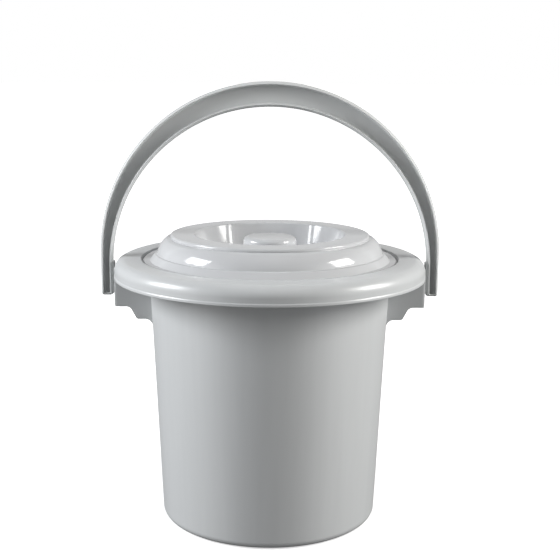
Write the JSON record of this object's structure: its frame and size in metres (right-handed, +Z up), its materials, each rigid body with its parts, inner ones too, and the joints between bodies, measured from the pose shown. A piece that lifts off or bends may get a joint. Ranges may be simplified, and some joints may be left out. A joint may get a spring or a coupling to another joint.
{
  "type": "commode pail",
  "caption": "Round tapered commode pail with a rolled rim and hinge lugs, a lift-off lid with a recessed grip knob, and an arched bail handle.",
  "frame": {"origin": "centre of the base circle on the surface that the pail stands on, the bottom centre of the bounding box", "axes": "+Z up along the pail's axis and through the top of the upright bail; X runs through the two hinge lugs, along the bail's hinge axis; -Y is the front, where the bail folds to at its high limit, and +Y the back, where it folds to at its low limit"},
  "size_m": [0.3274, 0.3, 0.4241],
  "materials": {
    "pail_polypropylene": "smooth moulded gloss",
    "lid_polypropylene": "polished moulded gloss",
    "handle_polypropylene": "satin moulded"
  },
  "bodies": {
    "pail": {"pail": "pail_polypropylene"},
    "lid": {"lid": "lid_polypropylene"},
    "bail": {"bail_handle": "handle_polypropylene"}
  },
  "joints": [
    {"name": "lid_lift", "type": "slide", "parent": "pail", "child": "lid", "axis": [0, 0, 1], "range_m": [0, 0.07]},
    {"name": "bail_swing", "type": "hinge", "parent": "pail", "child": "bail", "pos_m": [0, 0, 0.2288], "axis": [1, 0, 0], "range_deg": [-135, 135]}
  ]
}
